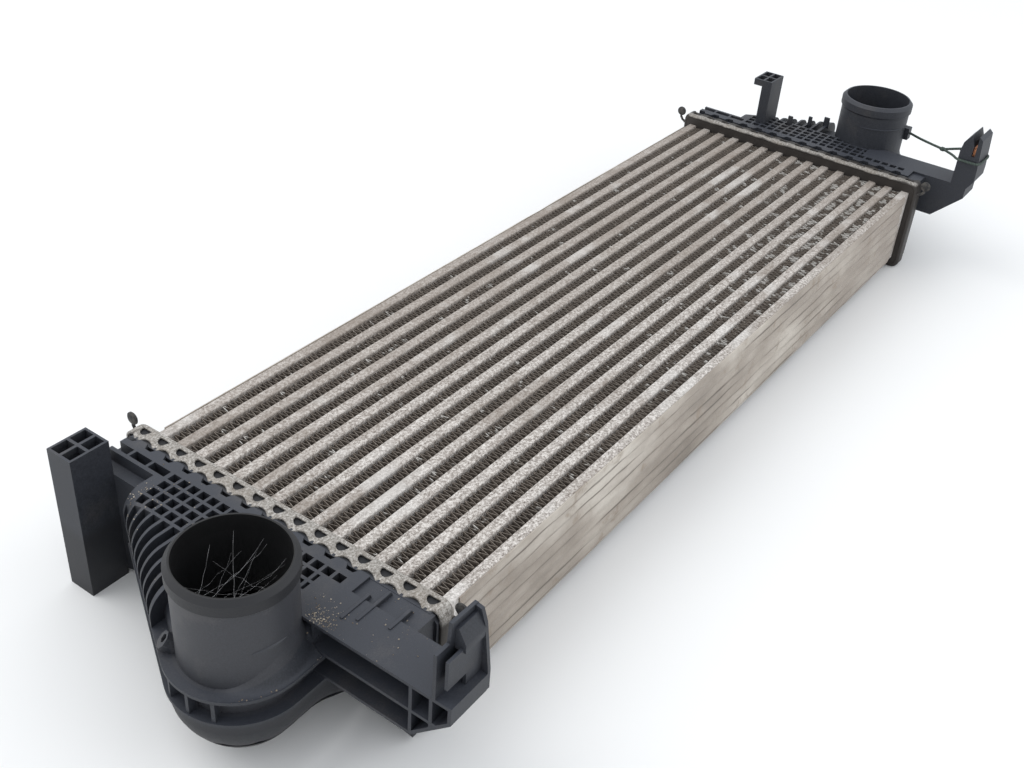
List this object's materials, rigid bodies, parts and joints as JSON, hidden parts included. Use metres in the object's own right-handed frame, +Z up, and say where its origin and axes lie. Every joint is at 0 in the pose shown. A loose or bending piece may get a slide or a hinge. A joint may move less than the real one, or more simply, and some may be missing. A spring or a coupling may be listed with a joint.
{
  "type": "intercooler",
  "caption": "Flat air-to-air charge cooler with an aluminium tube-and-fin core, crimped headers and ribbed plastic end tanks with hose necks.",
  "frame": {"origin": "on the floor under the middle of the overall box", "axes": "+X along the core from the inlet tank to the outlet tank, +Z up out of the necks"},
  "size_m": [0.8944, 0.2898, 0.131],
  "materials": {
    "tube_aluminium": "weathered, dull, speckled",
    "inner_aluminium": "clean rolled sheet",
    "fin_aluminium": "dirty and oxidised",
    "side_plate_aluminium": "stained and corroded",
    "header_aluminium": "dull pressed sheet",
    "black_rubber": "matt",
    "black_plastic": "glass-filled, dusty",
    "cord_plastic": "dark braided",
    "clip_brass": "dull copper colour"
  },
  "bodies": {
    "root": {"tube_01": "tube_aluminium", "tube_02": "tube_aluminium", "tube_03": "tube_aluminium", "tube_04": "tube_aluminium", "tube_05": "tube_aluminium", "tube_06": "tube_aluminium", "tube_07": "tube_aluminium", "tube_08": "tube_aluminium", "tube_09": "tube_aluminium", "tube_10": "tube_aluminium", "tube_11": "tube_aluminium", "tube_12": "tube_aluminium", "tube_13": "tube_aluminium", "tube_14": "tube_aluminium", "tube_15": "tube_aluminium", "turbulator_01": "inner_aluminium", "turbulator_02": "inner_aluminium", "turbulator_03": "inner_aluminium", "turbulator_04": "inner_aluminium", "turbulator_05": "inner_aluminium", "turbulator_06": "inner_aluminium", "turbulator_07": "inner_aluminium", "turbulator_08": "inner_aluminium", "turbulator_09": "inner_aluminium", "turbulator_10": "inner_aluminium", "turbulator_11": "inner_aluminium", "turbulator_12": "inner_aluminium", "turbulator_13": "inner_aluminium", "turbulator_14": "inner_aluminium", "turbulator_15": "inner_aluminium", "fin_row_01": "fin_aluminium", "fin_row_02": "fin_aluminium", "fin_row_03": "fin_aluminium", "fin_row_04": "fin_aluminium", "fin_row_05": "fin_aluminium", "fin_row_06": "fin_aluminium", "fin_row_07": "fin_aluminium", "fin_row_08": "fin_aluminium", "fin_row_09": "fin_aluminium", "fin_row_10": "fin_aluminium", "fin_row_11": "fin_aluminium", "fin_row_12": "fin_aluminium", "fin_row_13": "fin_aluminium", "fin_row_14": "fin_aluminium", "side_plate_right": "side_plate_aluminium", "side_plate_left": "side_plate_aluminium", "inlet_header": "header_aluminium", "outlet_header": "header_aluminium", "inlet_gasket": "black_rubber", "outlet_gasket": "black_rubber", "inlet_tank": "black_plastic", "outlet_tank": "black_plastic", "tether_cord": "cord_plastic", "arm_clip": "clip_brass"}
  },
  "joints": []
}
